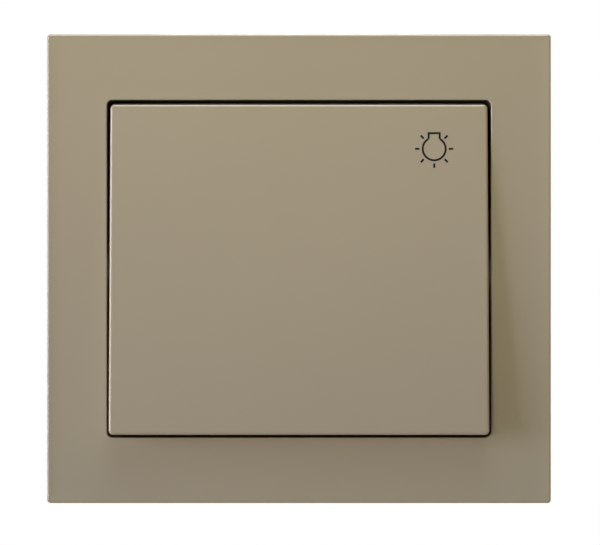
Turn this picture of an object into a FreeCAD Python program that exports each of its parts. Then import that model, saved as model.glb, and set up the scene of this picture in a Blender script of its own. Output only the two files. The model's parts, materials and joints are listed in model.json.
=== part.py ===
import FreeCAD, Part
import math
import os
import re

import Sketcher
from FreeCAD import Placement, Rotation, Vector

# Push button light switch: a cover frame and a rocker on a flush insert.
#
# X points to the right, Z up and Y into the wall. The wall is the plane Y = 0, and the origin is the
# middle of the insert on it. Levels are measured out of the wall: level 10 is Y = -10.
# The rocker and its cradle are drawn about the pivot, straight, and are then tilted to their rest.

SIZES = (
    ("frame_width", 86.0, "cover frame, left to right"),
    ("frame_height", 80.0, "cover frame, bottom to top"),
    ("frame_depth", 10.0, "level of the cover frame's front"),
    ("frame_corner", 0.6, "radius of the frame's outer corners"),
    ("frame_edge", 0.4, "rounding of the frame's front outer edge"),
    ("frame_face", 2.0, "thickness of the frame's front"),
    ("frame_skirt", 1.8, "thickness of the frame's outer wall"),
    ("frame_band_side", 10.22, "frame beside the opening"),
    ("frame_band_end", 11.2, "frame over and under the opening"),
    ("opening_corner", 0.95, "radius of the opening's corners"),
    ("opening_edge", 0.2, "rounding of the opening's front edge"),
    ("collar_wall", 1.6, "wall round the opening, down to the support ring"),
    ("frame_rib", 1.0, "thickness of the frame's ribs"),
    ("frame_rib_inner", 9.0, "inner ribs of the top and bottom bands, from the middle"),
    ("frame_rib_outer", 27.0, "outer ribs of the top and bottom bands, from the middle"),
    ("frame_rib_side", 14.0, "ribs of the side bands, from the middle"),
    ("frame_rib_air", 0.4, "air between the ribs and the support ring"),
    ("relief_width", 9.0, "notch in the collar for a box screw's head"),
    ("relief_height", 2.8, "height of that notch over the support ring"),
    ("latch_offset", 18.0, "frame latches, from the middle"),
    ("latch_width", 5.0, "width of a latch lug"),
    ("latch_level", 6.2, "level of a latch lug's end"),
    ("barb_level", 3.2, "level of a barb's catch"),
    ("barb_height", 1.8, "length of a barb's ramp"),
    ("barb_reach", 0.8, "how far a barb stands into its window"),
    ("latch_clearance", 0.15, "air round a lug and its barb"),
    ("rocker_side_gap", 0.58, "gap beside the rocker"),
    ("rocker_end_gap", 0.65, "gap over and under the rocker, measured along it"),
    ("rocker_tilt", 4.2, "tilt of the rocker at rest, in degrees"),
    ("pivot_height", 7.0, "level of the rocker's pivot"),
    ("rocker_plate", 2.0, "thickness of the rocker's front"),
    ("rocker_wall", 1.5, "thickness of the rocker's skirt"),
    ("rocker_skirt", 6.5, "depth of the rocker, front to skirt end"),
    ("rocker_corner", 0.75, "radius of the rocker's corners"),
    ("rocker_edge", 0.45, "rounding of the rocker's front edge"),
    ("rocker_draft", 1.0, "draft of the rocker's skirt, in degrees"),
    ("rocker_rib", 1.0, "thickness of the rocker's ribs"),
    ("rocker_rib_height", 2.2, "height of the rocker's ribs behind its front"),
    ("rocker_rib_offset", 18.5, "upright ribs, from the middle"),
    ("rocker_rib_level", 14.0, "cross ribs, from the middle"),
    ("snap_across", 5.5, "rocker's snap legs, to left and right of the pivot"),
    ("snap_along", 6.0, "rocker's snap legs, above and below the pivot"),
    ("snap_width", 4.0, "width of a snap leg"),
    ("snap_thickness", 1.4, "thickness of a snap leg"),
    ("snap_hook", 0.7, "reach of a snap leg's hook"),
    ("snap_hook_height", 1.2, "length of a snap leg's hook"),
    ("snap_clearance", 0.1, "air round a snap leg in its socket"),
    ("cradle_plate", 2.5, "thickness of the cradle"),
    ("cradle_top", 14.5, "cradle's upper end, from the pivot"),
    ("cradle_tail", 3.6, "cradle's lower end, past the plunger's middle"),
    ("cradle_air", 0.3, "air between the cradle and a bearing cheek"),
    ("ear_size", 4.4, "size of the cradle's bearing ears"),
    ("trunnion_radius", 1.5, "radius of the cradle's trunnions"),
    ("bearing_clearance", 0.05, "air round a trunnion in its cheek"),
    ("nose_radius", 1.5, "radius of the nose that presses the plunger"),
    ("nose_reach", 1.5, "nose centre behind the pivot"),
    ("nose_width", 5.0, "width of the nose"),
    ("stop_across", 8.0, "cradle's stop legs, from the middle"),
    ("stop_width", 2.4, "width of a stop leg"),
    ("stop_thickness", 1.6, "thickness of a stop leg"),
    ("stop_air", 0.05, "air under a stop leg at its limit"),
    ("ring_side_edge", 2.6, "support ring beside a box screw's slot"),
    ("ring_end_edge", 3.95, "support ring past its latch lugs"),
    ("ring_thickness", 1.0, "thickness of the support ring"),
    ("ring_chamfer", 6.0, "corners cut off the support ring"),
    ("box_screw_spacing", 60.0, "distance of the box screws"),
    ("box_slot_width", 4.2, "width of a box screw's slot"),
    ("box_slot_length", 5.8, "length of a box screw's slot"),
    ("rivet_radius", 1.1, "radius of a rivet"),
    ("rivet_head_radius", 2.0, "radius of a rivet's heads"),
    ("rivet_head_height", 0.7, "height of a rivet's heads"),
    ("rivet_side", 3.0, "rivets, beside the housing"),
    ("rivet_along", 14.0, "rivets, above and below the middle"),
    ("fastener_sides", 12, "sides of the small fasteners and contacts"),
    ("fastener_clearance", 0.05, "air round a rivet or screw in its hole"),
    ("base_rim", 1.8, "housing's rim round the bearing plate"),
    ("base_depth", 22.0, "depth of the housing behind the wall plane"),
    ("base_corner", 2.0, "radius of the housing's corners"),
    ("rear_wall", 2.0, "thickness of the housing's rear wall"),
    ("flange_edge", 0.5, "housing's flange round a rivet's head"),
    ("flange_thickness", 3.0, "thickness of the housing's flange"),
    ("side_recess_width", 18.0, "recess in each side of the housing"),
    ("side_recess_depth", 3.2, "depth of that recess"),
    ("side_recess_start", 3.0, "solid edge in front of that recess"),
    ("plate_width", 31.8, "bearing plate, left to right"),
    ("plate_height", 39.8, "bearing plate, bottom to top"),
    ("plate_thickness", 2.0, "thickness of the bearing plate"),
    ("plate_corner", 1.0, "radius of the bearing plate's corners"),
    ("plate_clearance", 0.3, "air round the bearing plate"),
    ("cheek_thickness", 2.3, "thickness of a bearing cheek"),
    ("cheek_inset", 0.2, "bearing cheek in from the plate's side"),
    ("cheek_radius", 2.7, "rounded end of a bearing cheek"),
    ("cheek_foot", 9.0, "foot of a bearing cheek, along the plate"),
    ("cheek_foot_level", 3.4, "level of that foot"),
    ("guide_wall", 1.6, "wall round the plunger's guide"),
    ("guide_level", 3.0, "level of the plunger's guide"),
    ("screw_radius", 1.0, "radius of a plate screw"),
    ("screw_length", 8.0, "plate screw under its head"),
    ("screw_head_radius", 1.9, "radius of a plate screw's head"),
    ("screw_head_height", 1.2, "height of a plate screw's head"),
    ("screw_inset", 2.5, "plate screws in from the plate's edges"),
    ("plunger_inset", 4.9, "plunger in from the plate's lower edge"),
    ("plunger_size", 6.0, "plunger, each way"),
    ("plunger_clearance", 0.1, "air round the plunger in its guide"),
    ("plunger_flange", 1.5, "thickness of the plunger's flange"),
    ("plunger_flange_reach", 0.9, "plunger's flange past its sides"),
    ("plunger_stem", 1.9, "radius of the plunger's stem"),
    ("plunger_stem_length", 4.0, "length of the plunger's stem"),
    ("touch_gap", 0.1, "air between pieces that touch in use"),
    ("bridge_level", 5.0, "contact bridge behind the wall plane"),
    ("bridge_width", 6.0, "width of the contact bridge"),
    ("bridge_thickness", 1.0, "thickness of the contact bridge"),
    ("bridge_end", 2.4, "contact bridge past its contacts"),
    ("contact_radius", 1.5, "radius of a silver contact"),
    ("contact_height", 0.75, "height of a silver contact"),
    ("contact_air", 0.05, "air between the contacts when pressed"),
    ("spring_radius", 2.6, "return spring's radius at the wire's middle"),
    ("spring_wire", 0.35, "radius of the return spring's wire"),
    ("spring_turns", 4.0, "turns of the return spring"),
    ("spring_steps", 12, "straight steps in one turn"),
    ("spring_seat", 4.0, "housing behind the return spring"),
    ("well_radius", 3.4, "well of the return spring"),
    ("terminal_offset", 7.6, "terminals, from the middle"),
    ("strip_thickness", 0.8, "thickness of a contact strip"),
    ("strip_width", 7.2, "width of a contact strip"),
    ("strip_bend", 0.8, "inner bend of a contact strip"),
    ("strip_end_air", 1.0, "contact strip short of the rear wall"),
    ("pocket_clearance", 0.4, "air beside a contact strip"),
    ("pocket_foot", 4.8, "terminal pocket's lower side, below the middle"),
    ("pocket_top", 8.9, "terminal pocket's upper side, above the middle"),
    ("chamber_air", 0.3, "contact chamber below the plunger's flange"),
    ("wire_radius", 1.4, "radius of a wire entry"),
    ("wire_spacing", 4.2, "distance of a terminal's two wire entries"),
    ("wire_edge", 0.1, "wire entry beyond the face of its strip"),
    ("leaf_thickness", 0.35, "thickness of a clamp spring"),
    ("leaf_width", 3.6, "width of a clamp spring"),
    ("leaf_bend", 1.0, "bends of a clamp spring, at its middle line"),
    ("leaf_start", 9.6, "clamp spring's cross leg behind the wall plane"),
    ("leaf_floor_air", 1.8, "clamp spring's loop before the rear wall"),
    ("leaf_loop_width", 2.7, "width of that loop"),
    ("leaf_tongue", 5.2, "clamp spring's tip before its loop"),
    ("leaf_tip_air", 0.7, "clamp spring's tip before the contact strip"),
    ("release_width", 6.0, "release button, left to right"),
    ("release_height", 4.0, "release button, bottom to top"),
    ("release_level", 2.4, "release button above the middle"),
    ("release_proud", 2.0, "release button behind the housing"),
    ("release_shoulder", 1.0, "thickness of a release button's shoulder"),
    ("release_shoulder_reach", 0.6, "that shoulder past the button's sides"),
    ("release_clearance", 0.15, "air round a release button in its window"),
    ("release_tip_air", 0.3, "air between a release button and its clamp springs"),
)

WORKED = (
    ("opening_width", "frame_width - 2 * frame_band_side"),
    ("opening_height", "frame_height - 2 * frame_band_end"),
    ("collar_width", "opening_width + 2 * collar_wall"),
    ("collar_height", "opening_height + 2 * collar_wall"),
    ("rocker_width", "opening_width - 2 * rocker_side_gap"),
    ("rocker_height", "opening_height - 2 * rocker_end_gap"),
    ("rocker_front",
     "cos(rocker_tilt) * (frame_depth - pivot_height + rocker_height / 2 * sin(rocker_tilt))"),
    ("rocker_drop", "rocker_front * tan(rocker_tilt)"),
    ("rocker_back", "rocker_front - rocker_plate"),
    ("cradle_back", "rocker_back - cradle_plate"),
    ("cheek_outer", "plate_width / 2 - cheek_inset"),
    ("cheek_inner", "cheek_outer - cheek_thickness"),
    ("cradle_side", "cheek_inner - cradle_air"),
    ("base_width", "plate_width + 2 * (plate_clearance + base_rim)"),
    ("base_height", "plate_height + 2 * (plate_clearance + base_rim)"),
    ("rivet_across", "base_width / 2 + rivet_side"),
    ("screw_across", "plate_width / 2 - screw_inset"),
    ("screw_along", "plate_height / 2 - screw_inset"),
    ("plunger_offset", "plate_height / 2 - plunger_inset"),
    ("cradle_bottom", "plunger_offset + cradle_tail"),
    ("chamber_foot", "plunger_offset + plunger_size / 2 + plunger_flange_reach + chamber_air"),
    ("plate_front", "ring_thickness"),
    ("plate_back", "plate_front - plate_thickness"),
    ("lug_inner", "collar_height / 2 + latch_clearance"),
    ("lug_outer", "lug_inner + ring_thickness"),
    ("ring_width", "box_screw_spacing + box_slot_length + 2 * ring_side_edge"),
    ("ring_height", "2 * (lug_outer + ring_end_edge)"),
    ("rest_stop",
     "(pivot_height - plate_front - stop_air - cradle_top * sin(rocker_tilt)) / cos(rocker_tilt)"),
    ("press_stop", "pivot_height - plate_front - stop_air"),
    ("plunger_front",
     "pivot_height - nose_reach * cos(rocker_tilt) + plunger_offset * sin(rocker_tilt)"
     " - nose_radius - touch_gap"),
    ("plunger_travel", "plunger_offset * sin(rocker_tilt) + nose_reach * (1 - cos(rocker_tilt))"),
    ("bridge_back", "bridge_level + bridge_thickness"),
    ("tip_front", "bridge_back + contact_height + plunger_travel + contact_air"),
    ("strip_front", "tip_front + contact_height"),
    ("chamber_floor", "strip_front + strip_thickness"),
    ("well_floor", "base_depth - spring_seat"),
    ("pocket_floor", "base_depth - rear_wall"),
    ("pocket_width", "strip_width + 2 * pocket_clearance"),
    ("strip_face", "pocket_foot - strip_thickness"),
    ("wire_level", "strip_face - wire_radius - wire_edge"),
    ("leaf_back", "pocket_top - leaf_thickness / 2 - touch_gap"),
    ("leaf_loop", "pocket_floor - leaf_floor_air"),
    ("leaf_tip", "leaf_loop - leaf_tongue"),
    ("release_foot", "release_level - release_height / 2"),
    ("release_top", "release_level + release_height / 2"),
)

doc = FreeCAD.newDocument("push_button_switch")
sizes = doc.addObject("Spreadsheet::Sheet", "Sizes")
worked = doc.addObject("Spreadsheet::Sheet", "Worked")
ALIASES = {row[0]: "Sizes." + row[0] for row in SIZES}
ALIASES.update({row[0]: "Worked." + row[0] for row in WORKED})


def full(text):
    """An expression with each size named together with its sheet."""
    return re.sub(r"[a-z_]+", lambda word: ALIASES.get(word.group(), word.group()), text)


for row, (alias, number, meaning) in enumerate(SIZES, 1):
    sizes.set(f"A{row}", meaning)
    sizes.set(f"B{row}", str(number))
    sizes.setAlias(f"B{row}", alias)
for row, (alias, formula) in enumerate(WORKED, 1):
    worked.set(f"A{row}", alias.replace("_", " "))
    worked.set(f"B{row}", "=" + full(formula))
    worked.setAlias(f"B{row}", alias)
doc.recompute()


def size(alias):
    """A size or a worked-out value as a number, for shapes that are set in code."""
    sheet = sizes if ALIASES[alias].startswith("Sizes.") else worked
    return float(sheet.get(alias))


def bind(thing, **expressions):
    for name, text in expressions.items():
        thing.setExpression(name, full(text))


def bind_place(thing, x, level, z):
    thing.setExpression("Placement.Base.x", full(x))
    thing.setExpression("Placement.Base.y", full(f"-({level})"))
    thing.setExpression("Placement.Base.z", full(z))


# Sketches of a body lie on its front plane, seen from the front, at a level, or on its side plane.

def new_sketch(body, name, role, x, y, offset):
    plane = [item for item in body.Origin.OriginFeatures if item.Role == role][0]
    sketch = body.newObject("Sketcher::SketchObject", name)
    sketch.AttachmentSupport = [(plane, "")]
    sketch.MapMode = "FlatFace"
    sketch.setExpression("AttachmentOffset.Base.x", full(x))
    sketch.setExpression("AttachmentOffset.Base.y", full(y))
    sketch.setExpression("AttachmentOffset.Base.z", full(offset))
    return sketch


def dimension(sketch, name, constraint, text):
    index = sketch.addConstraint(constraint)
    sketch.renameConstraint(index, name)
    sketch.setExpression("Constraints." + name, full(text))


def rectangle(body, name, width, height, x="0", z="0", level="0", role="XZ_Plane"):
    """A plain rectangle about its middle."""
    sketch = new_sketch(body, name, role, x, z, level)
    corners = [Vector(-2, -1, 0), Vector(2, -1, 0), Vector(2, 1, 0), Vector(-2, 1, 0)]
    for index in range(4):
        sketch.addGeometry(Part.LineSegment(corners[index], corners[(index + 1) % 4]))
    for index in range(4):
        sketch.addConstraint(Sketcher.Constraint("Coincident", index, 2, (index + 1) % 4, 1))
        direction = "Horizontal" if index % 2 == 0 else "Vertical"
        sketch.addConstraint(Sketcher.Constraint(direction, index))
    sketch.addConstraint(Sketcher.Constraint("Symmetric", 0, 1, 2, 1, -1, 1))
    dimension(sketch, "width", Sketcher.Constraint("DistanceX", 0, 1, 0, 2, 4.0), width)
    dimension(sketch, "height", Sketcher.Constraint("DistanceY", 1, 1, 1, 2, 2.0), height)
    return sketch


def rounded_rectangle(body, name, width, height, corner, x="0", z="0", level="0"):
    """A rectangle with round corners about its middle."""
    sketch = new_sketch(body, name, "XZ_Plane", x, z, level)
    radius, right, top = 1.0, 10.0, 8.0
    ends = [
        (-right + radius, -top, right - radius, -top),
        (right, -top + radius, right, top - radius),
        (right - radius, top, -right + radius, top),
        (-right, top - radius, -right, -top + radius),
    ]
    for x_start, y_start, x_end, y_end in ends:
        sketch.addGeometry(Part.LineSegment(Vector(x_start, y_start, 0), Vector(x_end, y_end, 0)))
    centres = [(1, -1), (1, 1), (-1, 1), (-1, -1)]
    for index, (side, end) in enumerate(centres):
        centre = Vector(side * (right - radius), end * (top - radius), 0)
        start = math.radians(90 * index - 90)
        circle = Part.Circle(centre, Vector(0, 0, 1), radius)
        sketch.addGeometry(Part.ArcOfCircle(circle, start, start + math.pi / 2))
    for index in range(4):
        sketch.addConstraint(Sketcher.Constraint("Tangent", index, 2, 4 + index, 1))
        sketch.addConstraint(Sketcher.Constraint("Tangent", 4 + index, 2, (index + 1) % 4, 1))
        direction = "Horizontal" if index % 2 == 0 else "Vertical"
        sketch.addConstraint(Sketcher.Constraint(direction, index))
    for index in (5, 6, 7):
        sketch.addConstraint(Sketcher.Constraint("Equal", 4, index))
    sketch.addConstraint(Sketcher.Constraint("Symmetric", 4, 3, 6, 3, -1, 1))
    dimension(sketch, "width", Sketcher.Constraint("DistanceX", 3, 1, 1, 1, 2 * right), width)
    dimension(sketch, "height", Sketcher.Constraint("DistanceY", 0, 1, 2, 1, 2 * top), height)
    dimension(sketch, "corner", Sketcher.Constraint("Radius", 4, radius), corner)
    return sketch


def circle(body, name, radius, x="0", z="0", level="0", role="XZ_Plane"):
    sketch = new_sketch(body, name, role, x, z, level)
    sketch.addGeometry(Part.Circle(Vector(0, 0, 0), Vector(0, 0, 1), 1.0))
    sketch.addConstraint(Sketcher.Constraint("Coincident", 0, 3, -1, 1))
    dimension(sketch, "radius", Sketcher.Constraint("Radius", 0, 1.0), radius)
    return sketch


def polygon(name, points):
    """A closed outline on the side plane, from pairs of depth behind the wall and height."""
    sketch = doc.addObject("Sketcher::SketchObject", name)
    sketch.Placement = Placement(Vector(0, 0, 0), Rotation(Vector(1, 1, 1), 120))
    turn = 2 * math.pi / len(points)
    rough = [Vector(math.cos(turn * i), math.sin(turn * i), 0) for i in range(len(points) + 1)]
    for index in range(len(points)):
        sketch.addGeometry(Part.LineSegment(rough[index], rough[index + 1]))
    for index in range(len(points)):
        sketch.addConstraint(
            Sketcher.Constraint("Coincident", index, 2, (index + 1) % len(points), 1))
    for index, (depth, height) in enumerate(points):
        constraint = Sketcher.Constraint("DistanceX", -1, 1, index, 1, 1.0)
        dimension(sketch, f"depth{index}", constraint, depth)
        constraint = Sketcher.Constraint("DistanceY", -1, 1, index, 1, 1.0)
        dimension(sketch, f"height{index}", constraint, height)
    return sketch


# Features of a body. A pad grows to the front and a pocket cuts to the rear, unless it is reversed.

def feature(body, kind, sketch, length, reverse=False, both=False):
    made = body.newObject("PartDesign::" + kind, f"{sketch.Name}_{kind.lower()}")
    made.Profile = sketch
    made.Reversed = reverse
    if both:
        made.SideType = "Symmetric"
    bind(made, Length=length)
    return made


def pad(body, sketch, length, reverse=False):
    return feature(body, "Pad", sketch, length, reverse)


def pocket(body, sketch, length, reverse=False, both=False):
    return feature(body, "Pocket", sketch, length, reverse, both)


def round_edges(body, name, radius, wanted):
    """A fillet on those edges of the body that the test picks."""
    doc.recompute()
    base = body.Tip
    names = [f"Edge{i}" for i, edge in enumerate(base.Shape.Edges, 1) if wanted(edge)]
    fillet = body.newObject("PartDesign::Fillet", name)
    fillet.Base = (base, names)
    bind(fillet, Radius=radius)
    return fillet


def at_level(edge, level):
    box = edge.BoundBox
    return abs(box.YMin + level) < 1e-4 and abs(box.YMax + level) < 1e-4


def within(edge, width, height):
    """Whether an edge lies inside a rectangle about the middle, seen from the front."""
    box = edge.BoundBox
    return (max(abs(box.XMin), abs(box.XMax)) < width / 2
            and max(abs(box.ZMin), abs(box.ZMax)) < height / 2)


# Plain solids: boxes between two sides, two levels and two heights, and round rods.

def block(name, left, right, back, front, foot, top):
    solid = doc.addObject("Part::Box", name)
    bind(solid, Length=f"({right}) - ({left})", Width=f"({front}) - ({back})",
         Height=f"({top}) - ({foot})")
    bind_place(solid, left, front, foot)
    return solid


def rod(name, radius, x, z, back, front):
    """A round rod out of the wall."""
    solid = doc.addObject("Part::Cylinder", name)
    solid.Placement = Placement(Vector(0, 0, 0), Rotation(Vector(1, 0, 0), 90))
    bind(solid, Radius=radius, Height=f"({front}) - ({back})")
    bind_place(solid, x, back, z)
    return solid


def post(name, radius, x, z, back, front):
    """A small fastener, its hole or a silver contact: a rod with few sides."""
    solid = doc.addObject("Part::Prism", name)
    solid.Placement = Placement(Vector(0, 0, 0), Rotation(Vector(1, 0, 0), 90))
    bind(solid, Polygon="fastener_sides", Circumradius=radius, Height=f"({front}) - ({back})")
    bind_place(solid, x, back, z)
    return solid


def fastener_holes(name, radius, across, along, back, front):
    """Four holes, one in each corner."""
    return [post(f"{name}_{SIDE_NAMES[side]}_{END_NAMES[end]}", f"{radius} + fastener_clearance",
                 f"{side}{across}", f"{end}{along}", back, front) for side, end in CORNERS]


def cross_rod(name, radius, left, right, level, z):
    """A round rod from left to right."""
    solid = doc.addObject("Part::Cylinder", name)
    solid.Placement = Placement(Vector(0, 0, 0), Rotation(Vector(0, 1, 0), 90))
    bind(solid, Radius=radius, Height=f"({right}) - ({left})")
    bind_place(solid, left, level, z)
    return solid


def extrusion(name, sketch, left, right):
    """A side outline drawn out from left to right."""
    solid = doc.addObject("Part::Extrusion", name)
    solid.Base = sketch
    solid.DirMode = "Normal"
    solid.Solid = True
    bind(solid, LengthFwd=right, LengthRev=f"-({left})")
    return solid


def fuse(name, solids):
    joined = doc.addObject("Part::MultiFuse", name)
    joined.Shapes = solids
    joined.Refine = True
    return joined


def cut(name, base, tools):
    made = doc.addObject("Part::Cut", name)
    made.Base = base
    made.Tool = tools[0] if len(tools) == 1 else fuse(name + "_cuts", tools)
    made.Refine = True
    return made


def group(name, solids):
    """Identical separate solids as one sub-part."""
    made = doc.addObject("Part::Compound", name)
    made.Links = solids
    return made


def mirrored(name, source):
    """The same piece on the other side of the middle."""
    made = doc.addObject("Part::Mirroring", name)
    made.Source = source
    made.Normal = Vector(1, 0, 0)
    return made


def tilt_to_rest(thing):
    thing.Placement = Placement(Vector(0, 0, 0), Rotation(Vector(1, 0, 0), -1))
    bind_place(thing, "0", "pivot_height", "0")
    thing.setExpression("Placement.Rotation.Angle", full("-rocker_tilt"))


CORNERS = [(x, z) for x in "-+" for z in "-+"]
SIDE_NAMES = {"-": "left", "+": "right"}
END_NAMES = {"-": "lower", "+": "upper"}


# Cover frame: a moulded shell with a collar round the opening, ribs and latch windows.

def make_cover_frame():
    body = doc.addObject("PartDesign::Body", "cover_frame")
    outline = rounded_rectangle(body, "frame_outline", "frame_width", "frame_height", "frame_corner")
    pad(body, outline, "frame_depth")
    hollow = rectangle(body, "frame_hollow", "frame_width - 2 * frame_skirt",
                       "frame_height - 2 * frame_skirt")
    pocket(body, hollow, "frame_depth - frame_face", reverse=True)
    collar = rounded_rectangle(body, "frame_collar", "collar_width", "collar_height",
                               "opening_corner + collar_wall", level="ring_thickness")
    pad(body, collar, "frame_depth - ring_thickness - frame_face / 2")
    rib_start = "ring_thickness + frame_rib_air"
    rib_length = f"frame_depth - frame_face / 2 - ({rib_start})"
    band = "(frame_height - collar_height) / 2"
    middle = "(frame_height / 2 + collar_height / 2 - frame_skirt) / 2"
    for side, end in CORNERS:
        for place in ("inner", "outer"):
            name = f"frame_rib_{place}_{END_NAMES[end]}_{SIDE_NAMES[side]}"
            rib = rectangle(body, name, "frame_rib", band, f"{side}frame_rib_{place}",
                            f"{end}({middle})", rib_start)
            pad(body, rib, rib_length)
        name = f"frame_rib_side_{END_NAMES[end]}_{SIDE_NAMES[side]}"
        rib = rectangle(body, name, "(frame_width - collar_width) / 2", "frame_rib",
                        f"{side}(frame_width / 2 + collar_width / 2 - frame_skirt) / 2",
                        f"{end}frame_rib_side", rib_start)
        pad(body, rib, rib_length)
    opening = rounded_rectangle(body, "frame_opening", "opening_width", "opening_height",
                                "opening_corner")
    pocket(body, opening, "frame_depth", reverse=True)
    for side in "-+":
        window = rectangle(body, f"latch_window_{SIDE_NAMES[side]}",
                           "latch_width + 2 * latch_clearance", "barb_height + 2 * latch_clearance",
                           f"{side}latch_offset", "-(barb_level + barb_height / 2)", role="XY_Plane")
        pocket(body, window, "collar_height", both=True)
    relief = rectangle(body, "box_screw_relief", "relief_height", "relief_width",
                       "-(ring_thickness + relief_height / 2)", role="YZ_Plane")
    pocket(body, relief, "collar_width", both=True)
    depth, width, height = size("frame_depth"), size("collar_width"), size("collar_height")
    round_edges(body, "frame_outer_edge", "frame_edge",
                lambda edge: at_level(edge, depth) and not within(edge, width, height))
    round_edges(body, "frame_opening_edge", "opening_edge",
                lambda edge: at_level(edge, depth) and within(edge, width, height))
    return body


# Rocker: a moulded plate with a drafted skirt, ribs and four snap legs behind it.

def make_rocker():
    body = doc.addObject("PartDesign::Body", "rocker")
    outline = rounded_rectangle(body, "rocker_outline", "rocker_width", "rocker_height",
                                "rocker_corner", z="-rocker_drop", level="rocker_front")
    skirt = pad(body, outline, "rocker_skirt", reverse=True)
    bind(skirt, TaperAngle="-rocker_draft")
    front = size("rocker_front")
    round_edges(body, "rocker_front_edge", "rocker_edge", lambda edge: at_level(edge, front))
    hollow = rectangle(body, "rocker_hollow", "rocker_width - 2 * rocker_wall",
                       "rocker_height - 2 * rocker_wall", z="-rocker_drop",
                       level="rocker_front - rocker_skirt")
    hollow_cut = pocket(body, hollow, "rocker_skirt - rocker_plate", reverse=True)
    bind(hollow_cut, TaperAngle="rocker_draft")
    for side in "-+":
        rib = rectangle(body, f"rocker_rib_{SIDE_NAMES[side]}", "rocker_rib",
                        "rocker_height - 2 * rocker_wall", f"{side}rocker_rib_offset",
                        "-rocker_drop", "rocker_back - rocker_rib_height")
        pad(body, rib, "rocker_rib_height")
    for side, end in CORNERS:
        place = f"{SIDE_NAMES[side]}_{END_NAMES[end]}"
        rib = rectangle(body, f"rocker_cross_rib_{place}",
                        "rocker_width / 2 - rocker_wall - rocker_rib_offset", "rocker_rib",
                        f"{side}(rocker_width / 2 - rocker_wall + rocker_rib_offset) / 2",
                        f"{end}rocker_rib_level - rocker_drop", "rocker_back - rocker_rib_height")
        pad(body, rib, "rocker_rib_height")
        leg = rectangle(body, f"snap_leg_{place}", "snap_width", "snap_thickness",
                        f"{side}snap_across", f"{end}snap_along",
                        "cradle_back - snap_clearance - snap_hook_height")
        pad(body, leg, "cradle_plate + snap_clearance + snap_hook_height")
        hook = rectangle(body, f"snap_hook_{place}", "snap_width", "snap_thickness + snap_hook",
                         f"{side}snap_across", f"{end}(snap_along + snap_hook / 2)",
                         "cradle_back - snap_clearance - snap_hook_height")
        pad(body, hook, "snap_hook_height")
    tilt_to_rest(body)
    return body


# Cradle: turns on two trunnions, carries the rocker and presses the plunger with its nose.

def make_rocker_cradle():
    plate = block("cradle_body", "-cradle_side", "cradle_side", "cradle_back", "rocker_back",
                  "-cradle_bottom", "cradle_top")
    solids = [plate]
    for side in "-+":
        name = SIDE_NAMES[side]
        inner, outer = "cradle_side - cheek_thickness", "cradle_side"
        pin = "cheek_outer"
        ends = (inner, outer) if side == "+" else (f"-({outer})", f"-({inner})")
        solids.append(block(f"cradle_ear_{name}", *ends, "-ear_size / 2", "cradle_back",
                            "-ear_size / 2", "ear_size / 2"))
        ends = (inner, pin) if side == "+" else (f"-({pin})", f"-({inner})")
        solids.append(cross_rod(f"trunnion_{name}", "trunnion_radius", *ends, "0", "0"))
        left, right = f"{side}stop_across - stop_width / 2", f"{side}stop_across + stop_width / 2"
        solids.append(block(f"rest_stop_leg_{name}", left, right, "-rest_stop", "cradle_back",
                            "cradle_top - stop_thickness", "cradle_top"))
        solids.append(block(f"press_stop_leg_{name}", left, right, "-press_stop", "cradle_back",
                            "-cradle_bottom", "stop_thickness - cradle_bottom"))
    solids.append(block("nose_web", "-nose_width / 2", "nose_width / 2", "-nose_reach", "cradle_back",
                        "-plunger_offset - nose_radius", "nose_radius - plunger_offset"))
    solids.append(cross_rod("nose", "nose_radius", "-nose_width / 2", "nose_width / 2",
                            "-nose_reach", "-plunger_offset"))
    sockets = []
    for side, end in CORNERS:
        place = f"{SIDE_NAMES[side]}_{END_NAMES[end]}"
        near = "snap_along - snap_thickness / 2 - snap_hook - snap_clearance"
        far = "snap_along + snap_thickness / 2 + snap_clearance"
        heights = (near, far) if end == "+" else (f"-({far})", f"-({near})")
        sockets.append(block(f"snap_socket_{place}",
                             f"{side}snap_across - snap_width / 2 - snap_clearance",
                             f"{side}snap_across + snap_width / 2 + snap_clearance",
                             "cradle_back", "rocker_back", *heights))
    cradle = cut("rocker_cradle", fuse("cradle_solid", solids), sockets)
    tilt_to_rest(cradle)
    return cradle


# Support ring: punched sheet steel with four bent lugs whose barbs hold the frame's collar.

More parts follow.
